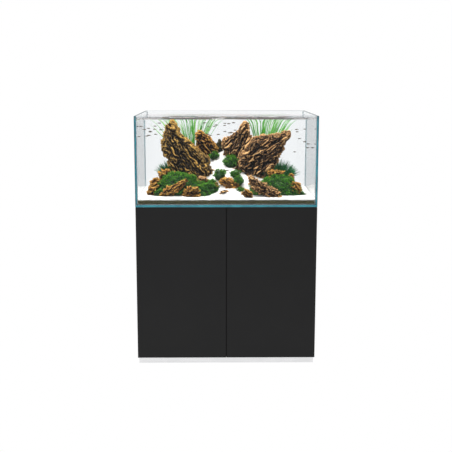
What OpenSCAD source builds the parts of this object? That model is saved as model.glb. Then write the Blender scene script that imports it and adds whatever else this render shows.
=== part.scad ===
// Aquarium on a cabinet stand: an open-top glass tank with an aquascape on a two-door cabinet.
// Millimetres. Origin at the middle of the footprint on the floor, +Z up, the doors face -Y.

/* [Overall] */
// width of the tank and the cabinet
unit_w = 900; // [600:10:1200]
// depth of the tank and the cabinet
unit_d = 600; // [400:10:700]

/* [Plinth] */
// height of the metal plinth
plinth_h = 30; // [20:1:60]
// thickness of the plinth bars
plinth_t = 15; // [10:1:25]
// how far the plinth stands back from the sides
plinth_inset = 6; // [0:1:30]

/* [Cabinet] */
// height of the cabinet body above the plinth
cab_h = 775; // [600:5:900]
// thickness of the cabinet boards and the doors
board_t = 18; // [12:1:25]
// gap between the closed doors and the boards behind them
door_gap = 4; // [2:0.5:6]
// gap between the two doors
centre_gap = 3; // [2:0.5:6]
// radius of the openings in the hose sleeves
port_r = 27; // [15:1:35]
// height of the shelf in the right compartment
shelf_z = 392; // [200:1:600]
// pitch of the shelf pin holes
pin_pitch = 64; // [32:32:96]

/* [Hinges] */
// distance of the hinge pin from the outside of the side board
pin_u = 8; // [7:0.5:12]
// distance of the hinge pin in front of the cabinet boards
pin_v = 10.5; // [9:0.5:12]
// radius of the hinge pin
pin_r = 1.5; // [1:0.1:2.5]
// radial clearance of the hinge arm round its pin
pin_play = 0.05; // [0.02:0.01:0.1]
// radius of the hinge cup
cup_r = 17.5; // [13:0.5:20]

/* [Tank] */
// height of the tank
tank_h = 450; // [300:10:600]
// thickness of the upright panes
pane_t = 10; // [6:1:15]
// thickness of the bottom pane
base_t = 12; // [8:1:19]
// thickness of the foam mat under the tank
mat_t = 3; // [2:1:8]
// leg of the silicone beads in the inside corners
bead = 3; // [2:0.5:5]

/* [Planting] */
// depth of the soil at the front pane
soil_front = 22; // [10:1:60]
// rise of the soil from the front pane to the back pane
soil_rise = 0; // [0:1:120]
// thickness of the white sand over the soil
sand_t = 6; // [3:1:15]
// radius of the cone-shaped sand hill where it meets the bottom pane
hill_r = 442; // [300:1:600]
// height of the hill's peak above the bottom pane
hill_peak = 266; // [150:1:320]

/* [Hidden] */
$fn = 64;
e = 1;
hw = unit_w / 2;
hd = unit_d / 2;
z_cab = plinth_h;
z_cab_top = z_cab + cab_h;
z_tank = z_cab_top + mat_t;
z_panes = z_tank + base_t;
z_top = z_tank + tank_h;
face_y = -hd + board_t + door_gap;
z_inner = z_cab + board_t;
z_under_top = z_cab_top - board_t;
inner_h = z_under_top - z_inner;
back_y = hd - board_t;
inner_w = hw - board_t;
door_w = hw - centre_gap / 2 - 0.5;
door_z = z_cab + 1;
door_h = cab_h - 2;
hinge_zs = [z_cab + 101, z_cab + 420, z_cab + 674];
hinge_half = 5;
cup_u = 20.5;
cup_depth = 12.5;
port_z = z_under_top - 70;
port_xs = [-340, -250, 300];
sleeve_r = port_r + 3;
shelf_t = 16;
shelf_y0 = face_y + 78;
shelf_y1 = back_y - 12;
pin_ys = [shelf_y0 + 50, shelf_y1 - 50];
pin_hole_r = 2.6;
pane_in = hd - pane_t;
side_in = hw - pane_t;
bed_x = side_in - bead - 1;
bed_y = pane_in - bead - 1;
hill_x = 25;
hill_y = 250;
hill_tip_r = 6;

module slab(x0, x1, y0, y1, z0, z1) {
  translate([x0, y0, z0]) cube([x1 - x0, y1 - y0, z1 - z0]);
}

// copies a left-hand piece to the other side
module other_side() {
  mirror([1, 0, 0]) children();
}

// plinth: four bars and a middle bar, standing on the floor

module plinth_front() {
  color("silver") slab(-hw + plinth_inset, hw - plinth_inset, -hd + 10, -hd + 10 + plinth_t, 0, plinth_h);
}

module plinth_rear() {
  color("silver") slab(-hw + plinth_inset, hw - plinth_inset, hd - 6 - plinth_t, hd - 6, 0, plinth_h);
}

module plinth_left() {
  color("silver") slab(-hw + plinth_inset, -hw + plinth_inset + plinth_t,
    -hd + 10 + plinth_t, hd - 6 - plinth_t, 0, plinth_h);
}

module plinth_right() {
  other_side() plinth_left();
}

module plinth_cross() {
  color("silver") slab(-plinth_t / 2, plinth_t / 2, -hd + 10 + plinth_t, hd - 6 - plinth_t, 0, plinth_h);
}

// cabinet boards

// one column of holes for shelf pins, bored into a board along X
module pin_holes(x, len) {
  for (y = pin_ys)
    for (k = [-1:1])
      translate([x, y, shelf_z - 2.5 + k * pin_pitch]) rotate([0, 90, 0])
        cylinder(h = len, r = pin_hole_r, $fn = 32);
}

module board_left() {
  color("dimgray") slab(-hw, -inner_w, face_y, hd, z_cab, z_under_top);
}

module board_right() {
  color("dimgray") difference() {
    slab(inner_w, hw, face_y, hd, z_cab, z_under_top);
    pin_holes(inner_w - e, 10 + e);
  }
}

module board_bottom() {
  color("dimgray") slab(-inner_w, inner_w, face_y, hd, z_cab, z_inner);
}

module board_top() {
  color("dimgray") slab(-hw, hw, face_y, hd, z_under_top, z_cab_top);
}

module board_divider() {
  color("dimgray") difference() {
    slab(-board_t / 2, board_t / 2, face_y, back_y, z_inner, z_under_top);
    pin_holes(board_t / 2 - 8, 8 + e);
    translate([-board_t / 2 - e, back_y - 90, port_z]) rotate([0, 90, 0])
      cylinder(h = board_t + 2 * e, r = sleeve_r);
  }
}

module board_back() {
  color("dimgray") difference() {
    slab(-inner_w, inner_w, back_y, hd, z_inner, z_under_top);
    for (x = port_xs)
      translate([x, back_y - e, port_z]) rotate([-90, 0, 0]) cylinder(h = board_t + 2 * e, r = sleeve_r + 0.1);
  }
}

module port_sleeves() {
  color("black") for (x = port_xs)
    translate([x, back_y - 2, port_z]) rotate([-90, 0, 0]) difference() {
      union() {
        cylinder(h = 2, r = sleeve_r + 5);
        cylinder(h = board_t + 2, r = sleeve_r);
      }
      translate([0, 0, -e]) cylinder(h = board_t + 2 + 2 * e, r = port_r);
    }
}

module shelf() {
  color("dimgray") slab(board_t / 2 + 1, inner_w - 1, shelf_y0, shelf_y1, shelf_z, shelf_z + shelf_t);
}

module shelf_pins() {
  color("silver") for (y = pin_ys) {
    translate([board_t / 2 - 7.5, y, shelf_z - 2.5]) rotate([0, 90, 0]) cylinder(h = 17, r = 2.5, $fn = 32);
    translate([inner_w - 9.5, y, shelf_z - 2.5]) rotate([0, 90, 0]) cylinder(h = 19, r = 2.5, $fn = 32);
  }
}

// an angle bracket in a corner: the upright leg at x, the level leg at z, each 40 long and 3 thick
module bracket(x, y, z, sx, sz) {
  translate([x, y, z]) mirror([sx < 0 ? 1 : 0, 0, 0]) mirror([0, 0, sz < 0 ? 1 : 0]) {
    translate([0, -10, 0]) cube([3, 20, 40]);
    translate([0, -10, 0]) cube([40, 20, 3]);
    translate([3, 0, 28]) rotate([0, 90, 0]) cylinder(h = 1.5, r = 4, $fn = 32);
    translate([28, 0, 3]) cylinder(h = 1.5, r = 4, $fn = 32);
  }
}

module angle_brackets() {
  color("silver") for (y = [-200, 200], s = [-1, 1]) {
    bracket(s * inner_w, y, z_under_top, -s, -1);
    bracket(s * inner_w, y, z_inner, -s, 1);
    bracket(s * board_t / 2, y, z_under_top, s, -1);
  }
}

// magnetic catches under the top board, one by each door's free edge
module door_catches() {
  color("gray") for (s = [-1, 1]) {
    slab(s * 48 - 12, s * 48 + 12, face_y + 4, face_y + 64, z_under_top - 16, z_under_top);
    translate([s * 48, face_y + 4, z_under_top - 8]) rotate([90, 0, 0]) cylinder(h = 6.8, r = 5);
  }
}

// hinges, drawn for the left side: u inward from the side board's outside, v in front of the boards

module at_hinges(side) {
  mirror([side > 0 ? 1 : 0, 0, 0])
    for (z = hinge_zs) translate([-hw, face_y, z]) children();
}

// arm and mounting plate, fixed to the side board
module hinge_arms(side) {
  color("silver") at_hinges(side) difference() {
    union() {
      translate([pin_u, -pin_v, -hinge_half]) cylinder(h = 2 * hinge_half, r = pin_r + 1.7);
      slab(pin_u, 22, -pin_v - 1.25, -pin_v + 1.25, -hinge_half, hinge_half);
      slab(19, 22, -pin_v - 1.25, 66, -hinge_half, hinge_half);
      slab(board_t, 20, 22, 62, -24, 24);
    }
    translate([pin_u, -pin_v, -hinge_half - e]) cylinder(h = 2 * hinge_half + 2 * e, r = pin_r + pin_play);
  }
}

module hinge_screws() {
  color("silver") for (side = [-1, 1]) at_hinges(side) for (z = [-16, 16])
    translate([8, 42, z]) rotate([0, 90, 0]) {
      cylinder(h = 12, r = 2, $fn = 32);
      translate([0, 0, 12]) cylinder(h = 2, r = 4, $fn = 32);
    }
}

// cup, wings and pin, fixed to the door
module hinge_cups(side) {
  color("silver") at_hinges(side) {
    difference() {
      translate([cup_u, -door_gap, 0]) rotate([90, 0, 0]) cylinder(h = cup_depth, r = cup_r);
      translate([cup_u, -door_gap + e, 0]) rotate([90, 0, 0]) cylinder(h = cup_depth + e - 0.8, r = cup_r - 0.8);
    }
    difference() {
      union() {
        slab(cup_u - 9.5, cup_u + 9.5, -door_gap, -door_gap + 1, -26, 26);
        translate([cup_u, -door_gap, 0]) rotate([-90, 0, 0]) cylinder(h = 1, r = cup_r + 1.5);
      }
      translate([cup_u, -door_gap - e, 0]) rotate([-90, 0, 0]) cylinder(h = 1 + 2 * e, r = cup_r - 0.8);
    }
    for (z = [-22.5, 22.5])
      translate([cup_u, -door_gap + 1, z]) rotate([-90, 0, 0]) cylinder(h = 1, r = 2.8, $fn = 32);
    translate([pin_u, -pin_v, -10.4]) cylinder(h = 20.8, r = pin_r);
  }
}

module door(side) {
  color("dimgray") difference() {
    mirror([side > 0 ? 1 : 0, 0, 0])
      slab(-hw + 0.5, -hw + 0.5 + door_w, -hd, -hd + board_t, door_z, door_z + door_h);
    at_hinges(side) translate([cup_u, -door_gap + e, 0]) rotate([90, 0, 0])
      cylinder(h = cup_depth + e + 0.1, r = cup_r + 0.1);
  }
}

module strike(side) {
  color("silver") slab(side * 48 - 9, side * 48 + 9, -hd + board_t, -hd + board_t + 1,
    z_under_top - 17, z_under_top + 1);
}

// tank

module foam_mat() {
  color("black") slab(-hw + 1, hw - 1, -hd + 1, hd - 1, z_cab_top, z_tank);
}

module pane_bottom() {
  color("lightblue") slab(-hw, hw, -hd, hd, z_tank, z_panes);
}

module pane_front() {
  color("lightblue") slab(-hw, hw, -hd, -pane_in, z_panes, z_top);
}

module pane_back() {
  color("lightblue") slab(-hw, hw, pane_in, hd, z_panes, z_top);
}

module pane_left() {
  color("lightblue") slab(-hw, -side_in, -pane_in, pane_in, z_panes, z_top);
}

module pane_right() {
  other_side() pane_left();
}

// three-cornered beads along the inside corners
module silicone_beads() {
  color("whitesmoke") {
    for (sx = [0, 1], sy = [0, 1]) mirror([sx, 0, 0]) mirror([0, sy, 0])
      translate([-side_in, -pane_in, z_panes]) linear_extrude(tank_h - base_t - 4)
        polygon([[0, 0], [bead, 0], [0, bead]]);
    for (sy = [0, 1]) mirror([0, sy, 0])
      translate([-side_in, -pane_in, z_panes]) rotate([90, 0, 90]) linear_extrude(2 * side_in)
        polygon([[0, 0], [bead, 0], [0, bead]]);
    for (sx = [0, 1]) mirror([sx, 0, 0])
      translate([-side_in, pane_in, z_panes]) rotate([90, 0, 0]) linear_extrude(2 * pane_in)
        polygon([[0, 0], [bead, 0], [0, bead]]);
  }
}

// planting bed: a wedge that rises to the back, with a cone-shaped hill near the back pane

module bed(extra) {
  translate([-bed_x, 0, 0]) rotate([90, 0, 90]) linear_extrude(2 * bed_x)
    polygon([[-bed_y, z_panes], [bed_y, z_panes],
      [bed_y, z_panes + soil_front + soil_rise + extra], [-bed_y, z_panes + soil_front + extra]]);
  intersection() {
    translate([hill_x, hill_y, z_panes]) cylinder(h = hill_peak - sand_t + extra, r1 = hill_r, r2 = hill_tip_r,
      $fn = 96);
    slab(-bed_x, bed_x, -bed_y, bed_y, z_panes + 1, z_top);
  }
}

// the rocks and stones are bedded in the soil, so soil and sand are cut out around them
module soil_bed() {
  color("saddlebrown") difference() {
    bed(0);
    hardscape();
  }
}

module white_sand() {
  color("white") difference() {
    bed(sand_t);
    bed(0);
    slab(-hw, hw, -hd, hd, z_tank, z_panes + soil_front / 2);
    hardscape();
  }
}

// rocks

// an upright slab with its outline in X and Z, from y0 to y1, with two slanted faces
module crag(outline, y0, y1, tilt) {
  lo = min([for (p = outline) p.x]);
  hi = max([for (p = outline) p.x]);
  z0 = min([for (p = outline) p.y]);
  z1 = max([for (p = outline) p.y]);
  intersection() {
    translate([0, y1, 0]) rotate([90, 0, 0]) linear_extrude(y1 - y0) polygon(outline);
    translate([(lo + hi) / 2, (y0 + y1) / 2, (z0 + z1) / 2]) rotate([tilt, 0, tilt])
      cube([1.3 * (hi - lo), 0.92 * (y1 - y0), 1.5 * (z1 - z0)], center = true);
  }
}

// a small stone: a box with its corners cut by two turned boxes
module stone(x, y, z, l, w, h, turn, pitch) {
  translate([x, y, z]) rotate([0, pitch, turn]) intersection() {
    cube([l, w, h], center = true);
    rotate([38, 0, 20]) cube([1.3 * l, 1.1 * w, 1.15 * h], center = true);
    rotate([0, 34, -24]) cube([1.02 * l, 1.35 * w, 1.3 * h], center = true);
  }
}

module rock_left() {
  color("peru") crag([[-305, 1207], [-282, 1218], [-241, 1166], [-173, 1093], [-100, 1025], [-59, 937],
    [-109, 903], [-199, 892], [-275, 908], [-312, 1019], [-333, 1082], [-329, 1135]], 0, 120, 4);
}

module rock_right() {
  color("peru") crag([[343, 1140], [337, 1164], [245, 1146], [152, 1134], [114, 1093], [73, 1034],
    [40, 971], [66, 930], [119, 903], [172, 905], [230, 955], [287, 1029], [305, 1071], [309, 1106]], 10, 130, -4);
}

// leans on the back of the right rock
module rock_centre() {
  color("peru") difference() {
    crag([[108, 1214], [125, 1184], [129, 1142], [140, 1106], [129, 1025], [82, 988], [24, 990],
      [-6, 1025], [-10, 1068], [-6, 1114], [26, 1138], [81, 1185]], 110, 200, 3);
    rock_right();
  }
}

module rock_back() {
  color("peru") {
    crag([[-159, 1156], [-135, 1167], [-105, 1143], [-64, 1099], [-38, 1061], [-56, 1013], [-105, 996],
      [-148, 1013], [-159, 1082]], 160, 240, -3);
    crag([[-32, 1118], [-21, 1103], [-10, 1063], [-14, 1022], [-46, 1022], [-51, 1087]], 205, 245, 3);
  }
}

module stones_left() {
  color("peru") difference() {
    loose_left();
    rock_left();
  }
}

module loose_left() {
  stone(-379, -110, 861, 48, 40, 52, 20, 5);
  stone(-361, -60, 897, 63, 50, 54, -15, -12);
  stone(-312, 15, 930, 76, 60, 63, 10, 12);
  stone(-266, -160, 883, 176, 48, 44, 6, -31);
  stone(-174, -178, 866, 81, 56, 62, -20, -12);
  stone(-121, -60, 915, 54, 44, 36, 8, 5);
  stone(-57, -85, 888, 29, 30, 61, 0, 38);
}

module stones_front() {
  color("peru") {
    stone(-13, -125, 862, 50, 40, 35, 12, 0);
    stone(32, -80, 895, 138, 50, 44, -6, 22);
    stone(105, -230, 861, 68, 42, 47, 10, 42);
    stone(191, -190, 887, 196, 60, 52, -8, 31);
  }
}

module stones_right() {
  color("peru") difference() {
    loose_right();
    rock_right();
  }
}

module loose_right() {
  stone(263, -5, 939, 84, 60, 61, -10, -8);
  stone(338, 0, 920, 32, 40, 63, 0, 10);
  stone(344, -92, 875, 94, 60, 77, 15, 28);
}

module hardscape() {
  rock_left();
  rock_right();
  rock_centre();
  rock_back();
  stones_left();
  stones_front();
  stones_right();
}

// moss pads and grass

module pad(x, y, z, r, low) {
  intersection() {
    translate([x, y, z]) sphere(r = r, $fn = 48);
    slab(-bed_x, bed_x, -bed_y, bed_y, low, z_top);
  }
}

// what the plants grow on: they are cut away where the ground, the rocks or the stones are
module growing_on() {
  bed(sand_t);
  hardscape();
}

module moss_left() {
  color("darkgreen") difference() {
    union() {
      pad(-244, -40, 823, 131, 846);
      pad(-149, -95, 816, 94, 846);
      pad(-310, -110, 802, 78, 846);
      pad(-87, -70, 853, 63, 846);
    }
    growing_on();
  }
}

module moss_right() {
  color("darkgreen") difference() {
    union() {
      pad(276, -40, 823, 117, 846);
      pad(177, -78, 822, 79, 846);
      pad(349, -85, 800, 71, 846);
      pad(308, 75, 906, 59, 846);
    }
    growing_on();
  }
}

module moss_tufts() {
  color("green") difference() {
    union() {
      pad(-32, -32, 937, 32, 901);
      pad(62, -70, 908, 27, 872);
      pad(74, -100, 859, 21, 846);
      pad(51, -2, 936, 23, 910);
      pad(29, 88, 990, 40, 963);
      pad(-62, 158, 1021, 32, 992);
      pad(-318, 60, 964, 32, 927);
    }
    growing_on();
  }
}

// one long flat blade leaning in X and Y
module blade(x, y, z, len, lean, tip) {
  translate([x, y, z]) rotate([tip, lean, 0]) rotate([90, 0, 0]) linear_extrude(1.5)
    polygon([[-3, 0], [3, 0], [1, len], [-1, len]]);
}

module grass(x, z, len, from, to, count) {
  for (k = [0:count - 1])
    blade(x + 5 * (k - count / 2), 232 + 6 * (k % 3), z, len - 14 * (k % 3), from + (to - from) * k / (count - 1),
      (k % 2) * 6 - 3);
}

module grass_left() {
  color("limegreen") difference() {
    grass(-182, 973, 241, -30, 24, 15);
    growing_on();
  }
}

module grass_right() {
  color("limegreen") difference() {
    grass(206, 978, 236, -14, 32, 15);
    growing_on();
  }
}

plinth_front();
plinth_rear();
plinth_left();
plinth_right();
plinth_cross();
board_left();
board_right();
board_bottom();
board_top();
board_divider();
board_back();
port_sleeves();
shelf();
shelf_pins();
angle_brackets();
door_catches();
hinge_arms(-1);  // hinge_arms_left
hinge_arms(1);  // hinge_arms_right
hinge_screws();
door(-1);  // door_left
hinge_cups(-1);  // hinge_cups_left
strike(-1);  // strike_left
door(1);  // door_right
hinge_cups(1);  // hinge_cups_right
strike(1);  // strike_right
foam_mat();
pane_bottom();
pane_front();
pane_back();
pane_left();
pane_right();
silicone_beads();
soil_bed();
white_sand();
rock_left();
rock_right();
rock_centre();
rock_back();
stones_left();
stones_front();
stones_right();
moss_left();
moss_right();
moss_tufts();
grass_left();
grass_right();
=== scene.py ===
import math
import random

import bmesh
import bpy
import numpy as np
from mathutils import Euler, Matrix, Vector, noise


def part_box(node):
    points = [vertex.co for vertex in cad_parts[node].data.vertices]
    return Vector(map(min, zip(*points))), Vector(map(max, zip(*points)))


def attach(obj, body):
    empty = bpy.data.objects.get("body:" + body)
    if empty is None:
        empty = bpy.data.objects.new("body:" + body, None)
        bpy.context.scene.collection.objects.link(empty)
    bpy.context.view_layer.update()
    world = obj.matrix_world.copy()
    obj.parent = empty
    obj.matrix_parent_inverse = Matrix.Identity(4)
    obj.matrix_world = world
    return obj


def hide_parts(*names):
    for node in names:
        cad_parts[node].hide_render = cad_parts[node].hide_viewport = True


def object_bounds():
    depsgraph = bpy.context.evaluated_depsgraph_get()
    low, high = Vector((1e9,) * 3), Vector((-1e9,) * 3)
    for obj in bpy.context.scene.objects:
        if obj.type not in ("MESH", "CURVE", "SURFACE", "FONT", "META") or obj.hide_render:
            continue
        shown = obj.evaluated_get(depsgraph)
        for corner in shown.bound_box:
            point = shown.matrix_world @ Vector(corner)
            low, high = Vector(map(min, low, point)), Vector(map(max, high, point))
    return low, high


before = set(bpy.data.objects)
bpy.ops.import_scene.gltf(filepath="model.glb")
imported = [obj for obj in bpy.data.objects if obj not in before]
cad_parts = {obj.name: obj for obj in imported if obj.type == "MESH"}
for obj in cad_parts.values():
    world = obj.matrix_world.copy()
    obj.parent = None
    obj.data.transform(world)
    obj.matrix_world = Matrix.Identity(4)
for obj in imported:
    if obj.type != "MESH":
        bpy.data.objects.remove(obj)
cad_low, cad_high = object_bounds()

MM = 0.001
ROOT = "stand"

# ---------------------------------------------------------------- camera

scene = bpy.context.scene
scene.view_settings.view_transform = "Standard"
scene.view_settings.look = "None"

camera_data = bpy.data.cameras.new("camera")
camera = bpy.data.objects.new("camera", camera_data)
scene.collection.objects.link(camera)
camera_data.sensor_width = 36.0
camera_data.lens = 58.24
camera_data.shift_x = 0.0078
camera_data.shift_y = -0.0837
camera.location = (-0.0474, -3.8579, 1.4354)
camera.rotation_euler = (math.radians(90 - 8.5), 0, math.radians(-0.449))
scene.camera = camera


# ---------------------------------------------------------------- node helpers

class Nodes:
    """A material's node tree with short calls for the nodes used here."""

    def __init__(self, name):
        self.mat = bpy.data.materials.new(name)
        self.mat.use_nodes = True
        self.tree = self.mat.node_tree
        self.tree.nodes.clear()
        self.out = self.tree.nodes.new("ShaderNodeOutputMaterial")
        self.coord = self.tree.nodes.new("ShaderNodeTexCoord").outputs["Object"]

    def node(self, kind, **values):
        n = self.tree.nodes.new(kind)
        for key, value in values.items():
            setattr(n, key, value)
        return n

    def link(self, a, b):
        self.tree.links.new(a, b)

    def put(self, socket, value):
        if isinstance(value, bpy.types.NodeSocket):
            self.link(value, socket)
        else:
            socket.default_value = value

    def stretch(self, scale, rotate=(0, 0, 0)):
        n = self.node("ShaderNodeMapping")
        n.inputs["Scale"].default_value = scale
        n.inputs["Rotation"].default_value = rotate
        self.link(self.coord, n.inputs["Vector"])
        return n.outputs[0]

    def noise(self, scale, detail=4.0, rough=0.55, vector=None):
        n = self.node("ShaderNodeTexNoise")
        n.inputs["Scale"].default_value = scale
        n.inputs["Detail"].default_value = detail
        n.inputs["Roughness"].default_value = rough
        self.link(vector or self.coord, n.inputs["Vector"])
        return n.outputs["Fac"]

    def cells(self, scale):
        """Distance from the middle of each grain."""
        n = self.node("ShaderNodeTexVoronoi")
        n.inputs["Scale"].default_value = scale
        self.link(self.coord, n.inputs["Vector"])
        return n.outputs["Distance"]

    def ramp(self, fac, *stops):
        n = self.node("ShaderNodeValToRGB")
        els = n.color_ramp.elements
        while len(els) < len(stops):
            els.new(0.5)
        for el, (pos, col) in zip(els, stops):
            el.position = pos
            el.color = (*col, 1.0) if isinstance(col, tuple) else (col, col, col, 1.0)
        self.link(fac, n.inputs["Fac"])
        return n.outputs["Color"]

    def span(self, fac, lo, hi, a=0.0, b=1.0):
        """Maps fac from a..b to lo..hi."""
        n = self.node("ShaderNodeMapRange")
        for key, value in zip(("From Min", "From Max", "To Min", "To Max"), (a, b, lo, hi)):
            n.inputs[key].default_value = value
        self.link(fac, n.inputs["Value"])
        return n.outputs["Result"]

    def math(self, op, a, b=0.0, clamp=False):
        n = self.node("ShaderNodeMath", operation=op, use_clamp=clamp)
        self.put(n.inputs[0], a)
        self.put(n.inputs[1], b)
        return n.outputs[0]

    def mix(self, fac, a, b):
        n = self.node("ShaderNodeMix", data_type="RGBA")
        self.put(n.inputs[0], fac)
        for socket, value in ((n.inputs[6], a), (n.inputs[7], b)):
            self.put(socket, (*value, 1.0) if isinstance(value, tuple) else value)
        return n.outputs[2]

    def attribute(self, name):
        return self.node("ShaderNodeAttribute", attribute_name=name).outputs["Color"]

    def geometry(self, output):
        return self.node("ShaderNodeNewGeometry").outputs[output]

    def bump(self, height, distance, strength=1.0, normal=None):
        n = self.node("ShaderNodeBump")
        n.inputs["Strength"].default_value = strength
        n.inputs["Distance"].default_value = distance
        self.link(height, n.inputs["Height"])
        if normal is not None:
            self.link(normal, n.inputs["Normal"])
        return n.outputs["Normal"]

    def principled(self, **inputs):
        n = self.node("ShaderNodeBsdfPrincipled")
        for key, value in inputs.items():
            socket = n.inputs[key.replace("_", " ")]
            if socket.type == "RGBA" and isinstance(value, tuple):
                value = (*value, 1.0)
            self.put(socket, value)
        self.link(n.outputs[0], self.out.inputs["Surface"])
        return n


def shade(colour, k):
    return tuple(c * k for c in colour)


def lacquer(name, base, rough):
    """Satin lacquer on board: faint cloudy tone, fine orange peel and a painted highlight that lightens the
    sharp outer edges.
    """
    n = Nodes(name)
    cloud = n.noise(3.0, 5, 0.6)
    tone = n.ramp(cloud, (0.3, shade(base, 0.93)), (0.7, shade(base, 1.08)))
    # Painted highlight: the sharp outer edges are made lighter, as where light catches them.
    edge_highlight = n.span(n.geometry("Pointiness"), 0.0, 0.35, 0.53, 0.62)
    tone = n.mix(edge_highlight, tone, shade(base, 2.2))
    wipe = n.noise(9.0, 6, 0.7)
    fine = n.noise(700.0, 2, 0.5)
    n.principled(Base_Color=tone, Roughness=n.span(wipe, rough - 0.03, rough + 0.04, 0.3, 0.7),
                 Normal=n.bump(fine, 0.00004, 0.6), Specular_IOR_Level=0.17)
    return n.mat


def metal(name, base, rough, along=(2, 2, 2), grain=260.0):
    """Metal with a brushed or rolled grain that runs the way of the smallest scale in along."""
    n = Nodes(name)
    lines = n.noise(grain, 4, 0.6, n.stretch(along))
    cloud = n.noise(14.0, 4, 0.6)
    tone = n.mix(n.span(lines, 0.0, 0.5, 0.3, 0.75), base, shade(base, 0.82))
    rough_map = n.span(n.math("ADD", lines, cloud), rough - 0.07, rough + 0.1, 0.7, 1.3)
    n.principled(Base_Color=tone, Metallic=1.0, Roughness=rough_map, Normal=n.bump(lines, 0.00003, 0.7))
    return n.mat


def plastic(name, base, rough):
    """Moulded plastic or foam with a cloudy tone and a fine grain."""
    n = Nodes(name)
    cloud = n.noise(40.0, 4, 0.6)
    grain = n.noise(1500.0, 2, 0.5)
    n.principled(Base_Color=n.ramp(cloud, (0.3, shade(base, 0.85)), (0.7, shade(base, 1.15))),
                 Roughness=n.span(cloud, rough - 0.05, rough + 0.08, 0.3, 0.7),
                 Normal=n.bump(grain, 0.00003, 0.6))
    return n.mat


def clear(name, tint, ior, reflection_mottle=None):
    """Clear glass or water that lets light through to what stands behind it."""
    n = Nodes(name)
    body = n.node("ShaderNodeBsdfGlass")
    body.inputs["Color"].default_value = (*tint, 1.0)
    body.inputs["Roughness"].default_value = 0.0
    body.inputs["IOR"].default_value = ior
    through = n.node("ShaderNodeBsdfTransparent")
    through.inputs["Color"].default_value = (*tint, 1.0)
    both = n.node("ShaderNodeMixShader")
    n.link(n.node("ShaderNodeLightPath").outputs["Is Shadow Ray"], both.inputs[0])
    n.link(body.outputs[0], both.inputs[1])
    n.link(through.outputs[0], both.inputs[2])
    # A pale grey-pink tint in patches: painted reflection colour on the water's surface.
    if reflection_mottle:
        tone = n.ramp(n.noise(5.0, 5, 0.6, n.stretch((0.6, 1.6, 1))), (0.36, reflection_mottle[0]), (0.62, reflection_mottle[1]))
        n.link(tone, body.inputs["Color"])
    n.link(both.outputs[0], n.out.inputs["Surface"])
    return n.mat


def glass_edge(name, deep, pale):
    """The polished narrow face of a pane, tinted by the long way the light took through the glass."""
    n = Nodes(name)
    cloud = n.noise(18.0, 5, 0.6)
    grind = n.noise(500.0, 3, 0.6, n.stretch((1, 1, 0.2)))
    n.principled(Base_Color=n.mix(n.span(cloud, 0.0, 1.0, 0.35, 0.65), deep, pale),
                 Roughness=n.span(grind, 0.12, 0.3, 0.3, 0.7), Normal=n.bump(grind, 0.00003, 0.5),
                 Coat_Weight=0.6, Coat_Roughness=0.05)
    return n.mat


def rock_material(name, dark, mid, ochre, pale, tilt, stained=0.8):
    """Weathered stone: the height above its crevices, stored on the mesh, picks the tone, with painted shade
    in crevices and on downward faces and painted highlights on crests.
    """
    n = Nodes(name)
    grain = n.noise(260.0, 6, 0.7)
    lines = n.noise(120.0, 5, 0.65, n.stretch((0.3, 1, 1), (0, math.radians(-tilt), 0)))
    h = n.math("ADD", n.attribute("height"), n.span(grain, -0.1, 0.1, 0.25, 0.75))
    h = n.math("ADD", h, n.span(lines, -0.1, 0.1, 0.25, 0.75))
    dim = tuple(0.75 * a + 0.25 * b for a, b in zip(dark, mid))
    # The ramp runs from near black, painted shade in crevices, through the stone's brown to ochre and pale on
    # the crests, partly the stone's colour and partly painted highlight.
    tone = n.ramp(h, (0.32, dark), (0.49, dim), (0.62, mid), (0.78, ochre), (0.97, pale))
    stain = n.span(n.noise(11.0, 4, 0.6), 0.0, stained, 0.48, 0.66)
    tone = n.mix(stain, tone, n.mix(0.35, dark, tone))
    # Painted shade: faces that point downwards are darkened towards the dark tone, as if in shadow under the
    # rock.
    facing = n.node("ShaderNodeSeparateXYZ")
    n.link(n.geometry("Normal"), facing.inputs[0])
    tone = n.mix(n.span(facing.outputs["Z"], 0.85, 0.0, -0.6, 0.25), tone, n.mix(0.15, dark, tone))
    fine = n.bump(n.noise(600.0, 4, 0.7), 0.0004, 0.8)
    n.principled(Base_Color=tone, Roughness=n.span(grain, 0.6, 0.85, 0.3, 0.7),
                 Normal=n.bump(grain, 0.0012, 0.8, fine), Specular_IOR_Level=0.2)
    return n.mat


def leaf_material(name, deep, mid, bright, through):
    """Leaves: a tone stored per leaf, with a fine streak, a soft shine and some light shining through."""
    n = Nodes(name)
    tone = n.ramp(n.attribute("tone"), (0.0, deep), (0.5, mid), (1.0, bright))
    streak = n.noise(300.0, 3, 0.6)
    tone = n.mix(n.span(streak, 0.0, 0.4, 0.3, 0.7), tone, mid)
    n.principled(Base_Color=tone, Roughness=n.span(streak, 0.45, 0.65, 0.3, 0.7), Specular_IOR_Level=0.15,
                 Subsurface_Weight=through, Subsurface_Radius=(0.003, 0.006, 0.002),
                 Normal=n.bump(streak, 0.0002, 0.5))
    return n.mat


def sand_material(name):
    """White sand: pale grains with shaded gaps, a few darker specks and cloudy patches."""
    n = Nodes(name)
    grains = n.cells(650.0)
    dots = n.ramp(grains, (0.0, (0.8, 0.785, 0.765)), (0.55, (0.74, 0.725, 0.7)), (0.9, (0.55, 0.53, 0.5)))
    specks = n.ramp(n.noise(380.0, 3, 0.7), (0.66, 0.0), (0.76, 1.0))
    tone = n.mix(n.math("MULTIPLY", specks, 0.35), dots, (0.5, 0.46, 0.4))
    cloud = n.noise(7.0, 4, 0.6)
    tone = n.mix(n.span(cloud, 0.0, 0.3, 0.4, 0.7), tone, (0.66, 0.64, 0.6))
    n.principled(Base_Color=tone, Roughness=0.85, Normal=n.bump(grains, 0.0008, 0.6),
                 Specular_IOR_Level=0.2)
    return n.mat


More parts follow.
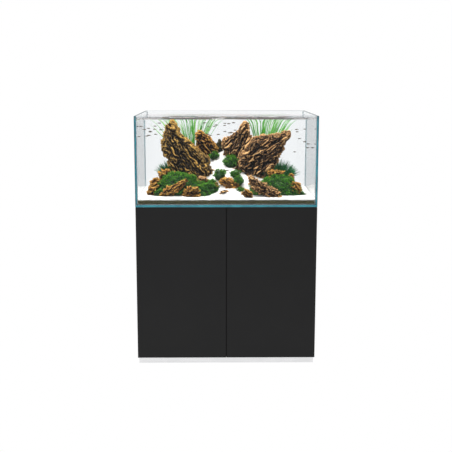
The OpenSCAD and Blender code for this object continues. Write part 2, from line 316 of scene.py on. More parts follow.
def soil_material(name):
    """Dark granular soil with greenish patches."""
    n = Nodes(name)
    grains = n.cells(330.0)
    tone = n.ramp(n.noise(240.0, 4, 0.7), (0.3, (0.02, 0.019, 0.009)), (0.55, (0.052, 0.047, 0.018)),
                  (0.8, (0.1, 0.09, 0.036)))
    green = n.span(n.noise(12.0, 4, 0.6), 0.0, 0.5, 0.5, 0.75)
    tone = n.mix(green, tone, (0.06, 0.07, 0.03))
    n.principled(Base_Color=tone, Roughness=0.8, Normal=n.bump(grains, 0.002, 0.9),
                 Specular_IOR_Level=0.25)
    return n.mat


def sealant(name):
    n = Nodes(name)
    tone = n.ramp(n.noise(60.0), (0.3, (0.62, 0.7, 0.72)), (0.7, (0.75, 0.8, 0.82)))
    n.principled(Base_Color=tone, Roughness=0.35, Transmission_Weight=0.6, IOR=1.42,
                 Normal=n.bump(n.noise(90.0), 0.0003, 0.5))
    return n.mat


GLASS_IOR, WATER_IOR = 1.5, 1.333

DOOR = lacquer("door_lacquer", (0.0097, 0.0097, 0.01), 0.42)
BOARD = lacquer("board_lacquer", (0.0095, 0.0096, 0.01), 0.48)
PLINTH = metal("plinth_metal", (0.84, 0.84, 0.85), 0.3, along=(0.02, 0.02, 1))
STEEL = metal("nickel_steel", (0.66, 0.66, 0.66), 0.24, grain=120.0)
ZINC = metal("bright_zinc", (0.74, 0.75, 0.77), 0.3, grain=90.0)
BLACK = plastic("black_plastic_matt", (0.018, 0.018, 0.02), 0.5)
FOAM = plastic("foam_dark", (0.016, 0.016, 0.017), 0.8)
GLASS = clear("clear_glass", (0.975, 0.983, 0.986), GLASS_IOR)
WET_GLASS = clear("glass_against_water", (0.985, 0.988, 0.991), GLASS_IOR / WATER_IOR)
WATER = clear("clear_water", (0.997, 0.999, 1.0), 1.0)
SURFACE = clear("water_surface", (1.0, 1.0, 1.0), WATER_IOR, reflection_mottle=((0.86, 0.82, 0.815), (1.0, 0.985, 1.0)))
SEALANT = sealant("clear_sealant")
EDGE = glass_edge("glass_edge_teal", (0.003, 0.15, 0.2), (0.014, 0.25, 0.31))
RIM = glass_edge("glass_edge_rim", (0.5, 0.58, 0.6), (0.72, 0.78, 0.8))
SEAM = glass_edge("glass_edge_seam", (0.012, 0.05, 0.065), (0.03, 0.1, 0.125))
SAND = sand_material("white_sand_grains")
SOIL = soil_material("dark_soil_grains")
ROCK_DARK = rock_material("rock_dark", (0.004, 0.0028, 0.0014), (0.07, 0.045, 0.015), (0.304, 0.167, 0.0285),
                          (0.541, 0.32, 0.072), -49)
ROCK_TAN = rock_material("rock_tan", (0.005, 0.0032, 0.002), (0.12, 0.058, 0.02), (0.33, 0.162, 0.0562),
                         (0.598, 0.36, 0.149), 36)
ROCK_RUST = rock_material("rock_rust", (0.006, 0.0028, 0.001), (0.17, 0.068, 0.013), (0.391, 0.178, 0.0234),
                          (0.56, 0.32, 0.072), -52, 0.35)
ROCK_OLIVE = rock_material("rock_olive", (0.003, 0.004, 0.0015), (0.03, 0.034, 0.012), (0.075, 0.075, 0.028),
                           (0.2, 0.18, 0.08), -72)
# Painted shade: the moss bed is nearly black green so that the gaps between the moss leaves look shaded.
MOSS_SHADE_BED = leaf_material("moss_bed_painted_shade", (0.004, 0.016, 0.004), (0.007, 0.035, 0.005), (0.013, 0.06, 0.009), 0.0)
MOSS = leaf_material("moss_leaves", (0.003, 0.024, 0.002), (0.03, 0.16, 0.011), (0.24, 0.52, 0.05), 0.0)
BUSH = leaf_material("bush_leaves", (0.002, 0.022, 0.006), (0.014, 0.12, 0.036), (0.1, 0.38, 0.15), 0.0)
GRASS = leaf_material("grass_leaves", (0.014, 0.19, 0.02), (0.1, 0.42, 0.05), (0.42, 0.72, 0.17), 0.1)
FISH = leaf_material("fish_skin", (0.03, 0.03, 0.024), (0.1, 0.085, 0.06), (0.42, 0.36, 0.28), 0.0)


# ---------------------------------------------------------------- mesh helpers

def add_object(name, mesh, *materials):
    obj = bpy.data.objects.new(name, mesh)
    scene.collection.objects.link(obj)
    for m in materials:
        mesh.materials.append(m)
    return obj


def from_bmesh(name, bm, *materials):
    bmesh.ops.recalc_face_normals(bm, faces=bm.faces)
    mesh = bpy.data.meshes.new(name)
    bm.to_mesh(mesh)
    bm.free()
    return add_object(name, mesh, *materials)


def apply_modifiers(obj):
    bpy.context.view_layer.update()
    graph = bpy.context.evaluated_depsgraph_get()
    mesh = bpy.data.meshes.new_from_object(obj.evaluated_get(graph))
    old = obj.data
    obj.modifiers.clear()
    obj.data = mesh
    bpy.data.meshes.remove(old)


def piece(obj, slot, body, *nodes):
    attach(obj, body)
    if nodes:
        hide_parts(*nodes)
    return obj


def smooth(obj, angle=None):
    mesh = obj.data
    mesh.polygons.foreach_set("use_smooth", [True] * len(mesh.polygons))
    if angle is not None:
        mesh.set_sharp_from_angle(angle=math.radians(angle))


LARGE_FACE = 0.0003


def refined(node, bevel, material, slot, body=ROOT, panel=False):
    """A copy of a CAD node with eased edges, which stands for it. A panel's large faces stay flat."""
    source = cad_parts[node]
    bm = bmesh.new()
    bm.from_mesh(source.data)
    bmesh.ops.remove_doubles(bm, verts=bm.verts, dist=1e-5)
    bmesh.ops.dissolve_limit(bm, angle_limit=math.radians(1.0), verts=bm.verts, edges=bm.edges)
    obj = from_bmesh(node + "_finished", bm, material)
    mod = obj.modifiers.new("ease", "BEVEL")
    mod.width = bevel
    mod.segments = 2
    mod.limit_method = "ANGLE"
    mod.angle_limit = math.radians(40)
    mod.harden_normals = not panel
    smooth(obj)
    apply_modifiers(obj)
    if panel:
        for f in obj.data.polygons:
            f.use_smooth = f.area < LARGE_FACE
    return piece(obj, slot, body, node)


def eased_box(name, low, high, bevel, materials, face_slots):
    """A box with eased edges. face_slots maps an axis and side, such as '-x', to a material index."""
    bm = bmesh.new()
    bmesh.ops.create_cube(bm, size=1.0)
    for v in bm.verts:
        v.co = Vector([(low[i] if v.co[i] < 0 else high[i]) for i in range(3)])
    for f in bm.faces:
        axis = max(range(3), key=lambda i: abs(f.normal[i]))
        key = ("-" if f.normal[axis] < 0 else "+") + "xyz"[axis]
        f.material_index = face_slots.get(key, 0)
    bmesh.ops.bevel(bm, geom=list(bm.edges), offset=bevel, segments=1, profile=0.5, affect="EDGES",
                    material=len(materials) - 1)
    return from_bmesh(name, bm, *materials)


# ---------------------------------------------------------------- cabinet

for node in ("plinth_front", "plinth_rear", "plinth_left", "plinth_right", "plinth_cross"):
    refined(node, 0.8 * MM, PLINTH, "plinth_aluminium", panel=True)
for node in ("board_left", "board_right", "board_bottom", "board_top", "board_divider", "board_back",
             "shelf"):
    refined(node, 0.6 * MM, BOARD, "cabinet_board", panel=True)
refined("door_left", 1.0 * MM, DOOR, "door_front", "left_door", panel=True)
refined("door_right", 1.0 * MM, DOOR, "door_front", "right_door", panel=True)
refined("port_sleeves", 0.5 * MM, BLACK, "black_plastic")
refined("door_catches", 0.6 * MM, BLACK, "black_plastic")
refined("angle_brackets", 0.4 * MM, ZINC, "zinc_hardware")
refined("shelf_pins", 0.3 * MM, ZINC, "zinc_hardware")
refined("hinge_screws", 0.3 * MM, ZINC, "zinc_hardware")
for side in ("left", "right"):
    refined("hinge_arms_" + side, 0.25 * MM, STEEL, "hinge_steel")
    refined("hinge_cups_" + side, 0.2 * MM, STEEL, "hinge_steel", side + "_door")
    refined("strike_" + side, 0.2 * MM, ZINC, "zinc_hardware", side + "_door")
refined("foam_mat", 0.6 * MM, FOAM, "foam", panel=True)


# ---------------------------------------------------------------- tank

JOINT = 0.4 * MM
inner_low = Vector((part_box("pane_left")[1][0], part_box("pane_front")[1][1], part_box("pane_bottom")[1][2]))
inner_high = Vector((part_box("pane_right")[0][0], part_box("pane_back")[0][1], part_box("pane_back")[1][2]))
WATER_Z = inner_high.z - 18 * MM


def wetted(obj, index):
    """Gives the faces that the water touches the material with this index."""
    middle = (inner_low + inner_high) / 2
    bm = bmesh.new()
    bm.from_mesh(obj.data)
    bmesh.ops.bisect_plane(bm, geom=bm.verts[:] + bm.edges[:] + bm.faces[:], plane_co=(0, 0, WATER_Z),
                           plane_no=(0, 0, 1))
    for f in bm.faces:
        at = f.calc_center_median()
        inside = all(inner_low[i] - 2 * MM < at[i] < inner_high[i] + 2 * MM for i in range(3))
        if f.material_index == 0 and inside and at.z < WATER_Z and f.normal.dot(middle - at) > 0:
            f.material_index = index
    bm.to_mesh(obj.data)
    bm.free()


def pane(node, inset_low, inset_high, slots):
    """A pane drawn in from its CAD node's box. slots maps its narrow faces to the edge or rim material."""
    low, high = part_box(node)
    low = [a + b for a, b in zip(low, inset_low)]
    high = [a - b for a, b in zip(high, inset_high)]
    materials = (GLASS, EDGE, RIM, WET_GLASS, SEAM)
    obj = eased_box(node + "_glass", low, high, 1.1 * MM, materials, slots)
    wetted(obj, materials.index(WET_GLASS))
    return piece(obj, "tank_glass", ROOT, node)


pane("pane_bottom", (0, 0, 0), (0, 0, 0), {"-x": 1, "+x": 1, "-y": 1, "+y": 1})
pane("pane_front", (0, 0, JOINT), (0, 0, 0), {"-x": 1, "+x": 1, "+z": 2})
pane("pane_back", (0, 0, JOINT), (0, 0, 0), {"-x": 1, "+x": 1, "+z": 2})
pane("pane_left", (0, JOINT, JOINT), (0, JOINT, 0), {"-y": 1, "+y": 1, "+z": 2})
pane("pane_right", (0, JOINT, JOINT), (0, JOINT, 0), {"-y": 1, "+y": 1, "+z": 2})

refined("silicone_beads", 0.3 * MM, SEALANT, "silicone")


# ---------------------------------------------------------------- ground

SAND_Z = 0.848
HILL = Vector((0.025, 0.250, 1.086))
HILL_SLOPE = 0.602
HILL_TIP = 0.02
HILL_FOOT = 0.022


def ripple(x, y, scale, layer):
    return noise.noise(Vector((x * scale, y * scale, layer)))


def ground(x, y, rough=True):
    """Height of the sand: level, with a hill near the back pane, round at its tip and eased at its foot."""
    away = math.hypot(x - HILL.x, y - HILL.y)
    hill = HILL.z - HILL_SLOPE * math.sqrt(away * away + HILL_TIP * HILL_TIP)
    near = max(HILL_FOOT - abs(hill - SAND_Z), 0.0) / HILL_FOOT
    z = max(hill, SAND_Z) + near * near * HILL_FOOT * 0.25
    if rough:
        z += 0.0022 * ripple(x, y, 14, 3.0) + 0.0009 * ripple(x, y, 60, 7.0)
    return z


def slab_between(name, top, bottom, step, material):
    """A closed solid between two height functions, as wide as the inside of the tank."""
    gap = 0.3 * MM
    x0, x1 = inner_low.x + gap, inner_high.x - gap
    y0, y1 = inner_low.y + gap, inner_high.y - gap
    nx, ny = int((x1 - x0) / step) + 1, int((y1 - y0) / step) + 1
    xs, ys = np.linspace(x0, x1, nx), np.linspace(y0, y1, ny)
    bm = bmesh.new()
    upper = [[bm.verts.new((x, y, top(x, y))) for x in xs] for y in ys]
    lower = [[bm.verts.new((x, y, bottom(x, y))) for x in xs] for y in ys]
    for j in range(ny - 1):
        for i in range(nx - 1):
            bm.faces.new((upper[j][i], upper[j][i + 1], upper[j + 1][i + 1], upper[j + 1][i]))
            bm.faces.new((lower[j][i], lower[j + 1][i], lower[j + 1][i + 1], lower[j][i + 1]))
    rim = [(j, 0) for j in range(ny)] + [(ny - 1, i) for i in range(1, nx)]
    rim += [(j, nx - 1) for j in range(ny - 2, -1, -1)] + [(0, i) for i in range(nx - 2, 0, -1)]
    for (j, i), (b, a) in zip(rim, rim[1:] + rim[:1]):
        bm.faces.new((upper[j][i], upper[b][a], lower[b][a], lower[j][i]))
    obj = from_bmesh(name, bm, material)
    smooth(obj, 60)
    return obj


SAND_THICK = 5.5 * MM


def sand_floor(x, y):
    """Underside of the sand, wavy where it meets the soil."""
    wave = 0.0016 * ripple(x, y, 22, 11.0) + 0.0012 * ripple(x, y, 75, 5.0)
    return ground(x, y, False) - SAND_THICK + wave


piece(slab_between("white_sand_layer", ground, sand_floor, 5 * MM, SAND), "sand", ROOT, "white_sand")
piece(slab_between("soil_layer", lambda x, y: sand_floor(x, y) - 0.0002,
                   lambda x, y: inner_low.z + 0.3 * MM, 6 * MM, SOIL), "soil", ROOT, "soil_bed")


# ---------------------------------------------------------------- rocks

class Field:
    """Smooth noise, worked out for all points of a mesh at once."""

    def __init__(self, seed):
        rng = np.random.default_rng(seed)
        self.order = rng.permutation(256)
        ways = rng.normal(size=(256, 3))
        self.ways = ways / np.linalg.norm(ways, axis=1, keepdims=True)
        self.spots = rng.random((256, 3))

    def pick(self, cell):
        c = cell & 255
        return self.order[(self.order[(self.order[c[:, 0]] + c[:, 1]) & 255] + c[:, 2]) & 255]

    def smooth(self, p):
        cell = np.floor(p).astype(int)
        f = p - cell
        t = f * f * f * (f * (f * 6 - 15) + 10)
        total = 0.0
        for corner in np.ndindex(2, 2, 2):
            way = self.ways[self.pick(cell + corner)]
            weight = np.where(corner, t, 1 - t).prod(axis=1)
            total = total + ((f - corner) * way).sum(axis=1) * weight
        return total * 1.7

    def ridges(self, p, octaves):
        """Sharp crests at +1 with rounded valleys between them."""
        total, size, weight = 0.0, 1.0, 0.0
        for _ in range(octaves):
            total = total + size * (1 - 2.2 * np.abs(self.smooth(p)))
            weight += size
            size *= 0.5
            p = p * 2.13 + 7.3
        return total / weight

    def flakes(self, p):
        """Irregular cells: how far a point is from its cell's border, and a level for the cell, -1 to 1."""
        cell = np.floor(p).astype(int)
        first = np.full(len(p), 9.0)
        second = np.full(len(p), 9.0)
        level = np.zeros(len(p))
        for corner in np.ndindex(3, 3, 3):
            c = cell + corner - 1
            chosen = self.pick(c)
            d = np.linalg.norm(p - c - self.spots[chosen], axis=1)
            nearer = d < first
            second = np.where(nearer, first, np.minimum(second, d))
            level = np.where(nearer, self.spots[chosen, 0] * 2 - 1, level)
            first = np.where(nearer, d, first)
        return second - first, level


def step(x, a, b):
    t = np.clip((x - a) / (b - a), 0, 1)
    return t * t * (3 - 2 * t)


def neighbour_mean(mesh, points, rounds):
    """Points of a mesh after some rounds of averaging with their neighbours."""
    edges = np.empty(len(mesh.edges) * 2, dtype=np.int32)
    mesh.edges.foreach_get("vertices", edges)
    a, b = edges[::2], edges[1::2]
    count = len(points)
    degree = np.maximum(np.bincount(a, minlength=count) + np.bincount(b, minlength=count), 1)
    for _ in range(rounds):
        total = [np.bincount(a, points[b, k], count) + np.bincount(b, points[a, k], count) for k in range(3)]
        points = 0.35 * points + 0.65 * np.stack(total, axis=1) / degree[:, None]
    return points


def remeshed(obj, voxel, soften):
    mod = obj.modifiers.new("grid", "REMESH")
    mod.mode = "VOXEL"
    mod.voxel_size = voxel * 1.6
    mod = obj.modifiers.new("round", "SMOOTH")
    mod.factor = 0.6
    mod.iterations = soften
    mod = obj.modifiers.new("fine", "REMESH")
    mod.mode = "VOXEL"
    mod.voxel_size = voxel
    apply_modifiers(obj)


def mesh_points(mesh):
    points = np.empty(len(mesh.vertices) * 3)
    mesh.vertices.foreach_get("co", points)
    normals = np.empty(len(mesh.vertices) * 3)
    mesh.vertex_normals.foreach_get("vector", normals)
    return points.reshape(-1, 3), normals.reshape(-1, 3)


def point_attribute(mesh, name, values):
    """Stores one value per vertex, which the materials read."""
    colours = mesh.color_attributes.new(name, "FLOAT_COLOR", "POINT")
    rgba = np.repeat(np.clip(values, 0, 1), 4)
    rgba[3::4] = 1.0
    colours.data.foreach_set("color", rgba)


def rough_stone(obj, tilt, seed, depth, voxel, soften=2, busy=1.1):
    """Turns a plain block into layered, pitted stone whose layers rise at the tilt angle in XZ."""
    remeshed(obj, voxel, soften)
    mesh = obj.data
    points, normals = mesh_points(mesh)
    field = Field(seed)
    warp = np.stack([field.smooth(points * 9 + k * 31) * 0.006 + field.smooth(points * 30 + k * 17) * 0.005
                     for k in range(3)], axis=1)
    x, y, z = (points + warp).T
    c, s = math.cos(tilt), math.sin(tilt)
    layers = np.stack([x * c + z * s, z * c - x * s, y], axis=1) * busy
    swell = field.smooth(points * 9)
    ribs = field.ridges(layers * (5, 30, 22), 3)
    gully = 1 - step(np.abs(field.smooth(layers * (8, 36, 26) + 3)), 0.03, 0.17)
    border, level = field.flakes(layers * (14, 58, 48))
    small_border, small_level = field.flakes(layers * (36, 120, 95) + 9)
    broken = step(field.smooth(points * 17 + 5), -0.35, 0.35)
    pits = step(field.smooth(layers * (40, 64, 58) + 11), 0.12, 0.4)
    crack = (1 - step(border, 0.0, 0.22)) * broken
    small_crack = 1 - step(small_border, 0.0, 0.3)
    push = 0.7 * swell + 0.3 * ribs + 1.05 * level + 0.45 * small_level \
        - 0.25 * gully - 1.0 * crack - 0.4 * small_crack - 0.8 * pits
    points = points + normals * (depth * push)[:, None]
    mesh.vertices.foreach_set("co", points.ravel())
    mesh.update()
    points, normals = mesh_points(mesh)
    # height: how far each point stands above its neighbours, with cracks, gullies and pits lowered; the rock
    # materials turn it into painted shade in the hollows and painted highlights on the crests.
    fine = ((points - neighbour_mean(mesh, points, 4)) * normals).sum(axis=1)
    broad = ((points - neighbour_mean(mesh, points, 24)) * normals).sum(axis=1)
    height = 0.44 + 0.24 * np.clip(fine / (0.12 * depth), -1, 1)
    height += 0.26 * np.clip(broad / (0.45 * depth), -1, 1)
    height += 0.12 * level - 0.05 * gully - 0.16 * crack - 0.2 * pits
    point_attribute(mesh, "height", height)
    smooth(obj)


def outline_block(name, outline, y0, y1, bevel):
    """An upright block from an outline in X and Z, narrower towards its faces."""
    bm = bmesh.new()
    cx = sum(p[0] for p in outline) / len(outline)
    cz = sum(p[1] for p in outline) / len(outline)
    rings = []
    for y, k in ((y0, 0.78), (y0 + bevel, 1.0), (y1 - bevel, 1.0), (y1, 0.8)):
        rings.append([bm.verts.new(((cx + (x - cx) * k) * MM, y * MM, (cz + (z - cz) * k) * MM))
                      for x, z in outline])
    count = len(outline)
    for a, b in zip(rings, rings[1:]):
        for i in range(count):
            bm.faces.new((a[i], a[(i + 1) % count], b[(i + 1) % count], b[i]))
    bm.faces.new(rings[0])
    bm.faces.new(list(reversed(rings[-1])))
    return from_bmesh(name, bm)


def crag(name, outline, y0, y1, tilt, seed, material, depth=9 * MM):
    """A large rock with its outline in X and Z, from y0 to y1."""
    obj = outline_block(name, outline, y0, y1, (y1 - y0) * 0.3)
    rough_stone(obj, math.radians(tilt), seed, depth, 2.4 * MM)
    obj.data.materials.append(material)
    return obj


def stone(name, x, y, z, l, w, h, turn, pitch, seed, material):
    """A small stone inside the box of its CAD solid."""
    rng = random.Random(seed)
    bm = bmesh.new()
    bmesh.ops.create_icosphere(bm, subdivisions=2, radius=1.0)
    for v in bm.verts:
        c = v.co
        k = 1.0 / max(abs(c.x) ** 2.6 + abs(c.y) ** 2.6 + abs(c.z) ** 2.6, 1e-6) ** (1 / 2.6)
        v.co = c * k * (0.86 + 0.2 * rng.random())
    turn_matrix = Euler((0, math.radians(pitch), math.radians(turn)), "XYZ").to_matrix().to_4x4()
    size = Matrix.Diagonal((l / 2 * MM, w / 2 * MM, h / 2 * MM, 1.0))
    bm.transform(Matrix.Translation((x * MM, y * MM, z * MM)) @ turn_matrix @ size)
    obj = from_bmesh(name, bm)
    smallest = min(l, w, h) * MM
    rough_stone(obj, math.radians(-pitch), seed, min(0.011, smallest * 0.22), 1.6 * MM, 1, 1.7)
    obj.data.materials.append(material)
    return obj


def joined(name, objects):
    """Joins meshes into one object and keeps their attributes and materials."""
    first = objects[0]
    with bpy.context.temp_override(active_object=first, selected_editable_objects=objects):
        bpy.ops.object.join()
    first.name = name
    first.data.name = name
    return first


LEFT_OUTLINE = [(-305, 1207), (-282, 1218), (-241, 1166), (-173, 1093), (-100, 1025), (-59, 937),
                (-109, 903), (-199, 892), (-275, 908), (-312, 1019), (-333, 1082), (-329, 1135)]
RIGHT_OUTLINE = [(343, 1140), (337, 1164), (245, 1146), (152, 1134), (114, 1093), (73, 1034), (40, 971),
                 (66, 930), (119, 903), (172, 905), (230, 955), (287, 1029), (305, 1071), (309, 1106)]
CENTRE_OUTLINE = [(108, 1214), (125, 1184), (129, 1142), (140, 1106), (129, 1025), (82, 988), (24, 990),
                  (-6, 1025), (-10, 1068), (-6, 1114), (26, 1138), (81, 1185)]
BACK_OUTLINE = [(-159, 1156), (-135, 1167), (-105, 1143), (-64, 1099), (-38, 1061), (-56, 1013),
                (-105, 996), (-148, 1013), (-159, 1082)]
SMALL_OUTLINE = [(-32, 1118), (-21, 1103), (-10, 1063), (-14, 1022), (-46, 1022), (-51, 1087)]

for node, outline, y0, y1, tilt, seed, material in (
        ("rock_left", LEFT_OUTLINE, 0, 120, -49, 3, ROCK_DARK),
        ("rock_right", RIGHT_OUTLINE, 10, 130, 36, 11, ROCK_TAN),
        ("rock_centre", CENTRE_OUTLINE, 110, 200, 61, 17, ROCK_TAN)):
    rock = crag(node + "_stone", outline, y0, y1, tilt, seed, material)
    piece(rock, "aquarium_rock", ROOT, node)
back = joined("rock_back_stones", [
    crag("rock_back_a", BACK_OUTLINE, 160, 240, -52, 23, ROCK_RUST),
    crag("rock_back_b", SMALL_OUTLINE, 205, 245, -72, 29, ROCK_OLIVE, 4 * MM)])
piece(back, "aquarium_rock", ROOT, "rock_back")

# Each row: place x y z, length, width and height in mm, turn and pitch in degrees, material.
LEFT_STONES = [
    (-379, -110, 861, 48, 40, 52, 20, 5, ROCK_RUST), (-361, -60, 897, 63, 50, 54, -15, -12, ROCK_RUST),
    (-312, 15, 930, 76, 60, 63, 10, 12, ROCK_RUST), (-266, -160, 883, 176, 48, 44, 6, -31, ROCK_RUST),
    (-174, -178, 866, 81, 56, 62, -20, -12, ROCK_RUST), (-121, -60, 915, 54, 44, 36, 8, 5, ROCK_TAN),
    (-57, -85, 888, 29, 30, 61, 0, 38, ROCK_DARK)]
FRONT_STONES = [
    (-13, -125, 862, 50, 40, 35, 12, 0, ROCK_TAN), (32, -80, 895, 138, 50, 44, -6, 22, ROCK_RUST),
    (105, -230, 861, 68, 42, 47, 10, 42, ROCK_RUST), (191, -190, 887, 196, 60, 52, -8, 31, ROCK_TAN)]
RIGHT_STONES = [
    (263, -5, 939, 84, 60, 61, -10, -8, ROCK_RUST), (338, 0, 920, 32, 40, 63, 0, 10, ROCK_RUST),
    (344, -92, 875, 94, 60, 77, 15, 28, ROCK_RUST)]
for group, stones, seed in (("stones_left", LEFT_STONES, 100), ("stones_front", FRONT_STONES, 200),
                            ("stones_right", RIGHT_STONES, 300)):
    parts = [stone(f"{group}_{i}", *row[:8], seed + i, row[8]) for i, row in enumerate(stones)]
    piece(joined(group + "_rough", parts), "aquarium_rock", ROOT, group)


# ---------------------------------------------------------------- moss and grass

class Leaves:
    """Collects thin closed leaves, each with its own tone."""

    def __init__(self):
        self.verts, self.faces, self.tones = [], [], []

    def spike(self, at, way, length, width, tone, tip_tone=None):
        """A slim three-sided spike."""
        way = way.normalized()
        side = way.orthogonal().normalized() * width
        other = way.cross(side).normalized() * width
        k = len(self.verts)
        for a in (0, 2.094, 4.189):
            self.verts.append(at + side * math.cos(a) + other * math.sin(a))
        self.verts.append(at + way * length)
        self.faces += [(k, k + 2, k + 1), (k, k + 1, k + 3), (k + 1, k + 2, k + 3), (k + 2, k, k + 3)]
        self.tones += [tone] * 3 + [tone if tip_tone is None else tip_tone]

    def ribbon(self, points, widths, facing, tones):
        """A flat closed ribbon, diamond in section, along the points."""
        k = len(self.verts)
        last = len(points) - 1
        for i, (p, w, t) in enumerate(zip(points, widths, tones)):
            along = (points[min(i + 1, last)] - points[max(i - 1, 0)]).normalized()
            across = along.cross(facing).normalized() * w
            up = facing.normalized() * w * 0.22
            self.verts += [p + across, p + up, p - across, p - up]
            self.tones += [t] * 4
        for i in range(last):
            a = k + 4 * i
            for s in range(4):
                n = (s + 1) % 4
                self.faces.append((a + s, a + n, a + 4 + n, a + 4 + s))
        self.faces.append((k + 3, k + 2, k + 1, k))
        a = k + 4 * last
        self.faces.append((a, a + 1, a + 2, a + 3))

    def build(self, name, material):
        mesh = bpy.data.meshes.new(name)
        mesh.from_pydata([tuple(v) for v in self.verts], [], self.faces)
        mesh.update()
        point_attribute(mesh, "tone", self.tones)
        return add_object(name, mesh, material)


def mound_bed(name, mounds, low):
    """A closed, lumpy bed under the moss, dark as painted shade among the leaves."""
    bm = bmesh.new()
    for x, y, z, r in mounds:
        bmesh.ops.create_icosphere(bm, subdivisions=4 if r > 50 else 2, radius=(r - 4) * MM,
                                   matrix=Matrix.Translation((x * MM, y * MM, z * MM)))
    for v in bm.verts:
        v.co.z = max(v.co.z, low * MM)
    obj = from_bmesh(name, bm)
    mod = obj.modifiers.new("grid", "REMESH")
    mod.mode = "VOXEL"
    mod.voxel_size = 5 * MM
    apply_modifiers(obj)
    for v in obj.data.vertices:
        v.co += v.normal * 0.003 * noise.noise(v.co * 60)
    point_attribute(obj.data, "tone", np.full(len(obj.data.vertices), 0.3))
    smooth(obj)
    obj.data.materials.append(MOSS_SHADE_BED)
    return obj


def cushions(mounds, low, rng):
    """Small cushions scattered over the free upper surface of every mound."""
    found = []
    spacing = 24
    for index, (x, y, z, r) in enumerate(mounds):
        for _ in range(int(r * r * 0.16)):
            u, a = rng.uniform(-0.15, 1.0), rng.uniform(0, 2 * math.pi)
            flat = math.sqrt(1 - u * u)
            sunk = rng.uniform(3, 13)
            p = Vector((flat * math.cos(a), flat * math.sin(a), u)) * (r - sunk) + Vector((x, y, z))
            if p.z * MM < max(low * MM, ground(p.x * MM, p.y * MM, False)) - 2 * MM:
                continue
            if any((p - Vector(m[:3])).length < m[3] - 22 for k, m in enumerate(mounds) if k != index):
                continue
            if any((p - q).length < min(spacing, r * 0.7) * rng.uniform(0.6, 1.1) for q, _ in found):
                continue
            found.append((p, min(rng.uniform(13, 21), r * 0.7)))
    return found


def moss(name, mounds, low, density, seed, length=(8, 13)):
    """Moss: cushions of small leaves that point outwards, painted lighter where they face up, on a dark bed
    of painted shade.
    """
    rng = random.Random(seed)
    leaves = Leaves()
    lumps = cushions(mounds, low, rng)
    for p, r in lumps:
        glow = rng.uniform(0.0, 0.25)
        for _ in range(int(density * r * r * 1e-3)):
            u, a = rng.uniform(-0.2, 1.0), rng.uniform(0, 2 * math.pi)
            flat = math.sqrt(1 - u * u)
            normal = Vector((flat * math.cos(a), flat * math.sin(a), u))
            at = (p + normal * (r - 6)) * MM
            lean = Vector((rng.uniform(-1, 1), rng.uniform(-1, 1), rng.uniform(-0.2, 1.0))) * 0.5
            sprig = (normal + lean).normalized()
            # Painted light: leaves that face up get a lighter tone, as if lit from above; the rest of the
            # tone differs at random.
            tone = 0.14 + glow + rng.random() ** 1.3 * 0.6 * (0.4 + 0.8 * max(u, 0))
            tall = rng.uniform(*length) * MM
            for _ in range(6):
                way = sprig + Vector((rng.uniform(-1, 1), rng.uniform(-1, 1), rng.uniform(-1, 1))) * 0.45
                leaves.spike(at, way, tall * rng.uniform(0.7, 1.0), rng.uniform(0.8, 1.2) * MM,
                             tone * 0.6, tone * 1.5)
    bed = mounds + [(*p, r - 4) for p, r in lumps]
    return joined(name, [leaves.build(name + "_leaves", MOSS), mound_bed(name + "_bed", bed, low)])


def bush(name, at, spread, height, count, seed):
    """A dense tuft of fine blades that radiate upwards and outwards."""
    rng = random.Random(seed)
    leaves = Leaves()
    for _ in range(count):
        a, d = rng.uniform(0, 2 * math.pi), math.sqrt(rng.random())
        foot = Vector((at[0] + spread * 0.55 * d * math.cos(a),
                       at[1] + spread * 0.4 * d * math.sin(a), at[2])) * MM
        foot.z = max(foot.z, ground(foot.x, foot.y, False) - 4 * MM)
        tilt = d * rng.uniform(0.5, 1.15)
        way = Vector((math.sin(tilt) * math.cos(a), math.sin(tilt) * math.sin(a), math.cos(tilt)))
        tall = height * (1 - 0.35 * d) * rng.uniform(0.45, 1.0) * MM
        bright = rng.random() ** 1.6
        middle = foot + way * tall * 0.6
        droop = Vector((way.x * 0.3, way.y * 0.3, -0.12)) * tall * 0.4
        leaves.ribbon([foot, foot + way * tall * 0.3, middle, middle + way * tall * 0.4 + droop],
                      [1.1 * MM, 1.3 * MM, 1.0 * MM, 0.2 * MM], Vector((0.2 * math.cos(a), -1, 0.3)),
                      [0.05, 0.1 + 0.2 * bright, 0.2 + 0.4 * bright, 0.3 + 0.7 * bright])
    return leaves.build(name, BUSH)


